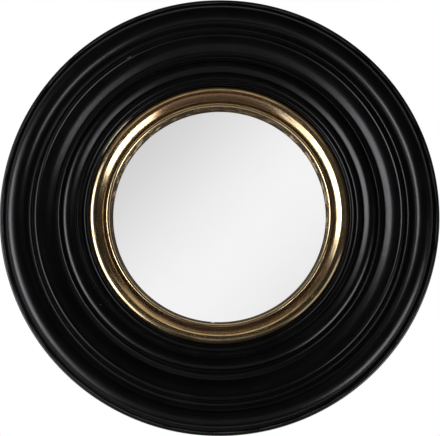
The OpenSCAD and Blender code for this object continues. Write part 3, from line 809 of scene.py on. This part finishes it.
# %% Turn the discs
plate_line = [(0, 20), (60, 20), (124.6, 20), (125, 19.6), (125, 16.4), (124.6, 16), (60, 16), (0, 16)]
plate = turned("mirror_plate", plate_line, 192, closed=False)
smooth(plate, 30)
dress(plate, "mirror", ["mirror_glass"], [mirror_silver, mirror_back])
for face in plate.data.polygons:
    if face.normal.y > -0.9:
        face.material_index = 1
board_line = [
    (0, 14), (157.3, 14), (157.6, 13.7), (157.6, 10.5), (157.45, 10.15), (157.1, 10), (80, 10), (0, 10),
]
board = turned("backing_board_turned", board_line, 160, closed=False)
smooth(board, 35)
dress(board, "mirror", ["backing_board"], [hardboard])

# %% [markdown]
# ## Screws
#
# A pan-head screw is a turned form too: a domed head, a threaded shank and a point. The cross recess is
# cut with a boolean, and every screw stops at its own angle, as screws do.

# %% Pan-head screws
DOME = ((0, 1), (0.2, 1), (0.31, 0.93), (0.41, 0.72), (0.475, 0.42), (0.5, 0.15), (0.49, 0))
PLAIN_SHANK, THREAD_START, PITCH, THREAD_DEPTH = 1.2, 1.6, 1.1, 0.45


def pan_screw(name, shank, length, head, rise):
    """A screw along Y, with the underside of its head at y = 0 and its point towards -Y."""
    half, core = shank / 2, shank / 2 - THREAD_DEPTH
    outline = [(head * out, -rise * up) for out, up in DOME] + [(half, 0), (half, PLAIN_SHANK)]
    depth = THREAD_START
    while depth < length - shank:
        outline += [(core, depth), (half, depth + PITCH / 2)]
        depth += PITCH
    outline += [(core, depth), (core * 0.5, length - 0.8), (0, length)]
    screw = turned(name, outline, 28, closed=False)
    smooth(screw, 40)
    return screw


def cross_cut(screw, head, rise, turn):
    """Cuts the cross recess, turned by an angle."""
    bars = []
    for quarter in (0, math.pi / 2):
        clear_selection()
        bpy.ops.mesh.primitive_cube_add(size=1, location=(0, 0, 0))
        bar = bpy.context.object
        bar.scale = (head * 0.52 * MM, 1.6 * MM, 0.8 * MM)
        bpy.ops.object.transform_apply(location=True, rotation=True, scale=True)
        use_modifier(bar, "BEVEL", width=0.12 * MM, segments=2)
        place(bar, (0, (rise + 0.05) * MM, 0), (0, turn + quarter, 0))
        bars.append(bar)
    for bar in bars:
        use_modifier(screw, "BOOLEAN", operation="DIFFERENCE", object=bar, solver="EXACT")
        bpy.data.objects.remove(bar)
    smooth(screw, 40)


def screw_set(name, spots, shank, length, head, rise):
    """Screws at (x, height, z) spots in millimetres, as one piece."""
    screws = []
    for k, (px, ph, pz) in enumerate(spots):
        screw = pan_screw(f"{name}_{k}", shank, length, head, rise)
        cross_cut(screw, head, rise, random.uniform(0, math.pi / 2))
        place(screw, (px * MM, -ph * MM, pz * MM))
        screws.append(screw)
    return join(screws, name)


HINGE_R, HINGE_H = 192.5, 7.24
BUTTON_R, BUTTON_SEAT = 165.1, 7.7
STRAP_SEAT, STRAP_HOLES = 7.4, (8, 25.5)
button_spots = [
    (BUTTON_R * math.cos(a), BUTTON_SEAT, BUTTON_R * math.sin(a)) for a in map(math.radians, range(0, 360, 60))
]
button_screws = screw_set("button_screws", button_spots, 3.5, 13.0, 7.0, 2.4)
dress(button_screws, "mirror", ["turn_button_screws"], [zinc_screw])
strap_spots = [(0, STRAP_SEAT, HINGE_R - down) for down in STRAP_HOLES]
strap_screws = screw_set("strap_screws", strap_spots, 3.5, 15.0, 6.4, 2.2)
dress(strap_screws, "mirror", ["hanger_screws"], [zinc_screw])
print("screws made")

# %% [markdown]
# ## Turn buttons
#
# Six stamped buttons hold the board. Each is a strip with round ends, pressed with a rib that stiffens it,
# and turns on its screw. One is modelled: its outline is filled, extruded, bevelled and drilled. The others
# are copies, turned to their places, and each rides on its own body.


# %% Turn buttons
def stadium(start, end, half, count=20):
    """Points round a strip with round ends, from x = start to x = end, in millimetres."""
    points = [(end + half * math.cos(t), half * math.sin(t)) for t in np.linspace(-math.pi / 2, math.pi / 2, count)]
    far_arc = np.linspace(math.pi / 2, 1.5 * math.pi, count)
    return points + [(start + half * math.cos(t), half * math.sin(t)) for t in far_arc]


def sheet_piece(name, outline, low, high, edge):
    """A flat outline made a solid between two heights, with its edges rounded."""
    points = [(px * MM, -high * MM, pz * MM) for px, pz in outline]
    piece = chain(name, points + points[:1])
    bpy.ops.mesh.remove_doubles(threshold=SAME_SPOT)
    bpy.ops.mesh.edge_face_add()
    bpy.ops.mesh.extrude_region_move(TRANSFORM_OT_translate={"value": (0, (high - low) * MM, 0)})
    close_up()
    bpy.ops.object.mode_set(mode="OBJECT")
    use_modifier(piece, "BEVEL", width=edge * MM, segments=3, limit_method="ANGLE", angle_limit=math.radians(50))
    return piece


def drill(piece, spot, size):
    """Drills a hole of a radius along Y at an (x, z) spot, in millimetres."""
    sheet_height, reach = 9 * MM, 30 * MM
    clear_selection()
    centre = (spot[0] * MM, -sheet_height, spot[1] * MM)
    bpy.ops.mesh.primitive_cylinder_add(
        vertices=40, radius=size * MM, depth=reach, location=centre, rotation=(math.pi / 2, 0, 0)
    )
    bit = bpy.context.object
    bpy.ops.object.transform_apply(location=True, rotation=True, scale=True)
    use_modifier(piece, "BOOLEAN", operation="DIFFERENCE", object=bit, solver="EXACT")
    bpy.data.objects.remove(bit)


first_button = sheet_piece("button_plate", stadium(BUTTON_R - 12, BUTTON_R, 5), 7.95, 9.75, 0.35)
rib = sheet_piece("button_rib", stadium(BUTTON_R - 12.6, BUTTON_R - 7.1, 1.2), 7.35, 8.6, 0.5)
drill(first_button, (BUTTON_R, 0), 1.83)
first_button = join([first_button, rib], "turn_button_stamped")
smooth(first_button, 35)
for k in range(6):
    button = first_button if k == 5 else copy_of(first_button, "turn_button_stamped")
    button.name = button.data.name = f"turn_button_{k + 1}_stamped"
    place(button, (0, 0, 0), (0, -math.radians(60 * k), 0))
    dress(button, f"turn_button_{k + 1}", [f"turn_button_{k + 1}"], [zinc_sheet])
print("turn buttons made")

# %% [markdown]
# ## Hanger
#
# The strap is one strip of sheet, folded round the ring's wire. Its side view is a line: up the front
# leaf, round the loop, back through a small joggle and down the back leaf. The line is extruded across
# and given its thickness with Solidify. The ring is a bent wire, so it is a curve with a round section.

# %% Strap
SHEET, LOOP, STRAP, STRAP_WIDTH = 1.2, 2.16, 31, 12
FRONT_LEAF, BACK_LEAF = 9.4, 8.0
LOOP_END, JOGGLE = math.radians(250), math.radians(70)
side = [(FRONT_LEAF, HINGE_R - STRAP + t) for t in np.linspace(0, STRAP, 6)]
side += [(HINGE_H + LOOP * math.cos(t), HINGE_R + LOOP * math.sin(t)) for t in np.linspace(0.12, LOOP_END, 34)]
bend_h, bend_r = HINGE_H + LOOP * math.cos(LOOP_END), HINGE_R + LOOP * math.sin(LOOP_END)
curl = (BACK_LEAF - bend_h) / (1 - math.cos(JOGGLE))
for t in np.linspace(0, JOGGLE, 9)[1:]:
    swing = JOGGLE - t
    side.append((BACK_LEAF - curl * (1 - math.cos(swing)), bend_r - curl * (math.sin(JOGGLE) - math.sin(swing))))
side += [(BACK_LEAF, zz) for zz in np.linspace(side[-1][1], HINGE_R - STRAP, 6)[1:]]
strap = chain("strap_folded", [(-STRAP_WIDTH / 2 * MM, -h * MM, r * MM) for h, r in side])
bpy.ops.mesh.extrude_region_move(TRANSFORM_OT_translate={"value": (STRAP_WIDTH * MM, 0, 0)})
close_up()
bpy.ops.object.mode_set(mode="OBJECT")
use_modifier(strap, "SOLIDIFY", thickness=SHEET * MM, offset=0.0)
use_modifier(strap, "BEVEL", width=0.22 * MM, segments=2, limit_method="ANGLE", angle_limit=math.radians(50))
for down in STRAP_HOLES:
    drill(strap, (0, HINGE_R - down), 1.8)
smooth(strap, 40)
dress(strap, "mirror", ["hanger_strap"], [zinc_sheet])
print("strap made", len(strap.data.vertices))

# %% Ring
WIRE, DROP, BOW, CORNER, FOOT_H = 1.5, 17.0, 12.5, 2.5, 5.6
lean = math.asin((HINGE_H - FOOT_H) / DROP)
corner_arc = np.linspace(0, math.pi / 2, 9)
wire = [(px, 0.0) for px in np.linspace(-(BOW - CORNER), BOW - CORNER, 8)]
wire += [(BOW - CORNER + CORNER * math.sin(t), -CORNER + CORNER * math.cos(t)) for t in corner_arc[1:]]
wire += [(BOW * math.cos(t), BOW - DROP + BOW * math.sin(t)) for t in np.linspace(0, -math.pi, 41)]
wire += [(-(BOW - CORNER) - CORNER * math.cos(t), -CORNER + CORNER * math.sin(t)) for t in corner_arc[:-1]]
wire_line = [
    (px * MM, -(HINGE_H + py * math.sin(lean)) * MM, (HINGE_R + py * math.cos(lean)) * MM) for px, py in wire + wire[:1]
]
ring = chain("ring_wire", wire_line)
bpy.ops.mesh.remove_doubles(threshold=SAME_SPOT)
bpy.ops.object.mode_set(mode="OBJECT")
bpy.ops.object.convert(target="CURVE")
ring = bpy.context.object
ring.data.bevel_depth, ring.data.bevel_resolution = WIRE * MM, 6
bpy.ops.object.convert(target="MESH")
ring = bpy.context.object
ring.name = ring.data.name = "ring_wire"
smooth(ring)
dress(ring, "hanger_ring", ["hanger_ring"], [zinc_wire])
print("ring made", len(ring.data.vertices))

# %% [markdown]
# ## Felt dots
#
# Four stick-on felt dots keep the frame off the wall. A punched disc of felt has a slightly rounded edge,
# so a cylinder gets a soft bevel.

# %% Wall bumpers
DOT_RING, DOT_RADIUS, DOT_DEPTH = 229.5 * MM, 7 * MM, 2.5 * MM
for k in range(4):
    clear_selection()
    a = math.radians(45 + 90 * k)
    centre = (DOT_RING * math.cos(a), -DOT_DEPTH / 2, DOT_RING * math.sin(a))
    bpy.ops.mesh.primitive_cylinder_add(
        vertices=64, radius=DOT_RADIUS, depth=DOT_DEPTH, location=centre, rotation=(math.pi / 2, 0, 0)
    )
    dot = bpy.context.object
    dot.name = dot.data.name = f"felt_dot_{k + 1}"
    bpy.ops.object.transform_apply(location=True, rotation=True, scale=True)
    use_modifier(dot, "BEVEL", width=0.5 * MM, segments=4, limit_method="ANGLE", angle_limit=math.radians(50))
    smooth(dot, 50)
    dress(dot, "mirror", [f"wall_bumper_{k + 1}"], [felt])
print("felt dots made")

# %% [markdown]
# ## Pieces kept from the CAD part
#
# The felt and foam rings, the cork spacers and the slip's screws are hidden inside. Their CAD shapes are
# good enough, so they only get their finish.

# %% Hidden pieces
hidden = {"front_felt": ("felt", felt), "packing_ring": ("foam", foam), "slip_screws": ("brass_screw", brass_screw)}
hidden.update({f"edge_spacer_{k}": ("cork", cork) for k in range(1, 5)})
for name, (slot, material) in hidden.items():
    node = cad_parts[name]
    node.data.materials.clear()
    node.data.materials.append(material)
print("finishes on", sorted(hidden))

# %% [markdown]
# ## Floor and room
#
# The mirror hangs over a pale floor in a white room. The softboxes could light the floor too, but then it
# would change with each of them, so it has a sun of its own that shines on nothing else. The camera sees a
# white world. Reflections see it white behind the mirror and dark in front, so that the lacquer keeps its
# depth.


# %% Floor
def shine_only_on(name, lamps, pieces):
    """Lets lamps light a few pieces and nothing else."""
    group = bpy.data.collections.new(name)
    for piece in pieces:
        group.objects.link(piece)
    for light in lamps:
        light.light_linking.receiver_collection = group


FLOOR_H = -1.6
clear_selection()
bpy.ops.mesh.primitive_plane_add(size=60, location=(0, 0, FLOOR_H))
floor = bpy.context.object
floor.name = "floor"
floor_paint, tree, shader = new_material("floor_paint", Roughness=0.9)
soft = even_noise(tree, 0.7, 2.0)
tree.links.new(mix_colours(tree, soft, (0.86, 0.86, 0.86, 1), (0.89, 0.89, 0.89, 1)), shader.inputs["Base Color"])
shader.inputs["Specular IOR Level"].default_value = 0.1
floor.data.materials.append(floor_paint)
floor.visible_glossy = False
sun = bpy.data.objects.new("floor_sun", bpy.data.lights.new("floor_sun", "SUN"))
sun.data.energy, sun.data.angle = 3.3, math.radians(25)
sun.rotation_euler = (math.radians(-8), math.radians(6), 0)
bpy.context.scene.collection.objects.link(sun)
shine_only_on("lit_by_floor_sun", [sun], [floor])
print("floor made")

# %% World
world = bpy.data.worlds.new("studio")
bpy.context.scene.world = world
world.use_nodes = True
tree = world.node_tree
tree.nodes.clear()
path = node_with(tree, "ShaderNodeLightPath")
direction = node_with(tree, "ShaderNodeTexCoord").outputs["Generated"]
facing = node_with(tree, "ShaderNodeSeparateXYZ", {"Vector": direction})
behind = stretch(tree, facing.outputs[1], 0.18, 1.1)
seen = math_node(tree, "MAXIMUM", path.outputs["Is Glossy Ray"], path.outputs["Is Transmission Ray"])
white = math_node(tree, "MAXIMUM", path.outputs["Is Camera Ray"], times(tree, seen, behind))
glow = math_node(tree, "MULTIPLY_ADD", white, 0.98, 0.02)
background = node_with(tree, "ShaderNodeBackground", {"Strength": glow}, Color=(1, 1, 1, 1))
node_with(tree, "ShaderNodeOutputWorld", {"Surface": background.outputs[0]})
print("world made")

# %% [markdown]
# ## Lamps
#
# Two softboxes stand in front, low on the left and on the right, and give the sheen on every bead. Two
# sheets of light at the left draw those lines out, a faint one lies near the floor, and a warm one hangs
# high up for the gilding. They light the rings only, and the warm one only the gilded ring, so that no lamp
# edge shows in the plate. The fill lamps leave no highlight, and one softbox stands behind for the fittings.


# %% Lamps
def lamp(name, spot, aim, width, height, radiance, glossy=True):
    """A softbox that faces a point. The radiance is what a mirror would show of it."""
    light = bpy.data.lights.new(name, "AREA")
    light.shape, light.size, light.size_y = "RECTANGLE", width, height
    light.energy = radiance * math.pi * width * height
    holder = bpy.data.objects.new(name, light)
    bpy.context.scene.collection.objects.link(holder)
    holder.location = spot
    holder.rotation_euler = (Vector(spot) - Vector(aim)).to_track_quat("Z", "Y").to_euler()
    holder.visible_camera = False
    holder.visible_glossy = glossy
    return holder


def seen_from_mirror(angle, off_axis, distance):
    """A point in front of the mirror: its angle round the axis, its angle off the axis and its distance."""
    a, o = math.radians(angle), math.radians(off_axis)
    return (distance * math.sin(o) * math.cos(a), -distance * math.cos(o), distance * math.sin(o) * math.sin(a))


MIDDLE = (0, 0, 0)
ring_lamps = [
    lamp("softbox_left", seen_from_mirror(186, 68, 2.6), MIDDLE, 1.5, 2.3, 3.6),
    lamp("softbox_right", seen_from_mirror(328, 72, 2.6), MIDDLE, 1.4, 1.8, 4.8),
    lamp("wide_sheet_left", seen_from_mirror(192, 68, 1.7), MIDDLE, 0.9, 2.7, 1.7),
    lamp("floor_sheet", (0, -1.0, -1.05), MIDDLE, 1.8, 1.2, 0.18),
]
ceiling_sheet = lamp("ceiling_sheet", (0.1, -0.85, 1.4), MIDDLE, 3.2, 1.4, 0.5)
ceiling_sheet.data.color = (1.0, 0.86, 0.66)
SHEET_ANGLE, SHEET_R = 187, 0.82
a = math.radians(SHEET_ANGLE)
beside = (SHEET_R * math.cos(a), 0, SHEET_R * math.sin(a))
ring_lamps.append(lamp("sheet_left", (beside[0], -0.56, beside[2]), beside, 0.6, 1.0, 0.9))
shine_only_on("lit_by_softboxes", ring_lamps, [frame_ring, gilt_slip])
shine_only_on("lit_by_ceiling_sheet", [ceiling_sheet], [gilt_slip])
lamp("fill_front", (0.3, -3.2, 1.4), MIDDLE, 2.0, 2.0, 2.2, glossy=False)
lamp("fill_back", (-1.2, 2.6, 1.3), MIDDLE, 1.8, 1.8, 3.0, glossy=False)
lamp("back_softbox", (1.6, 2.0, 0.9), MIDDLE, 0.9, 0.9, 2.5)
print("lamps made")

# %% [markdown]
# ## A sheet of light for the plate
#
# A mirror shows what stands opposite. A pale sheet is hung there for a photograph. Here it is a big sphere
# with a soft grey ramp, which shines on nothing but the plate.

# %% Sheet of light for the plate
GLOW_R = 7.0
clear_selection()
bpy.ops.mesh.primitive_uv_sphere_add(segments=48, ring_count=24, radius=GLOW_R, location=(0, 0, 0))
glow_sheet = bpy.context.object
glow_sheet.name = "glow_sheet"
glow_paint = bpy.data.materials.new("glow_paint")
glow_paint.use_nodes = True
glow_paint.cycles.emission_sampling = "NONE"
tree = glow_paint.node_tree
tree.nodes.clear()
parts = node_with(tree, "ShaderNodeSeparateXYZ", {"Vector": node_with(tree, "ShaderNodeTexCoord").outputs["Object"]})
lift = math_node(tree, "SUBTRACT", parts.outputs[2], 0.98)
slant = times(tree, math_node(tree, "SUBTRACT", parts.outputs[0], lift), 0.7071)
place_on_ramp = math_node(tree, "MULTIPLY_ADD", slant, 0.5 / GLOW_R, 0.5, clamp=True)
ramp = node_with(tree, "ShaderNodeValToRGB", {"Fac": place_on_ramp})
ramp.color_ramp.interpolation = "EASE"
stops = [(-7, 0.5), (-2.5, 0.8), (-0.52, 0.62), (0.02, 0.94), (0.56, 0.73), (2.5, 0.6), (5, 0.85)]
for k, (where, level) in enumerate(stops):
    stop = ramp.color_ramp.elements[k] if k < 2 else ramp.color_ramp.elements.new(0.5 + where / (2 * GLOW_R))
    stop.position = 0.5 + where / (2 * GLOW_R)
    stop.color = (level, level, level, 1)
shine = node_with(tree, "ShaderNodeEmission", {"Color": ramp.outputs[0]}, Strength=1.0)
clear_glass = node_with(tree, "ShaderNodeBsdfTransparent")
both = node_with(tree, "ShaderNodeAddShader", {0: shine.outputs[0], 1: clear_glass.outputs[0]})
node_with(tree, "ShaderNodeOutputMaterial", {"Surface": both.outputs[0]})
glow_sheet.data.materials.append(glow_paint)
for ray in ("camera", "diffuse", "transmission", "volume_scatter", "shadow"):
    setattr(glow_sheet, f"visible_{ray}", False)
shine_only_on("lit_by_glow_sheet", [glow_sheet], [plate])
print("glow_sheet made")

# %% [markdown]
# ## Camera
#
# The photograph was taken from far away, almost straight on and a little from below. A long lens keeps the
# rings round, and a small shift sets the mirror in the picture.

# %% Camera
CAMERA_DISTANCE, FIELD, AZIMUTH, ELEVATION = 4.0, 0.5002, 0.9, -8.05
SENSOR, PHOTO_WIDTH, RIM_PLANE = 36, 440, -0.0211
camera_data = bpy.data.cameras.new("camera")
camera = bpy.data.objects.new("camera", camera_data)
bpy.context.scene.collection.objects.link(camera)
bpy.context.scene.camera = camera
a, e = math.radians(AZIMUTH), math.radians(ELEVATION)
back = Vector((math.sin(a) * math.cos(e), -math.cos(a) * math.cos(e), math.sin(e)))
camera.location = Vector((0, RIM_PLANE, 0)) + back * CAMERA_DISTANCE
camera.rotation_mode = "QUATERNION"
camera.rotation_quaternion = (-back).to_track_quat("-Z", "Y")
camera_data.sensor_width = SENSOR
camera_data.lens = SENSOR * CAMERA_DISTANCE / FIELD
camera_data.shift_x, camera_data.shift_y = 0.6 / PHOTO_WIDTH, -1.57 / PHOTO_WIDTH
camera_data.clip_start, camera_data.clip_end = 0.05, 100
bpy.context.scene.view_settings.view_transform = "Standard"
print("camera at", [round(number, 3) for number in camera.location])
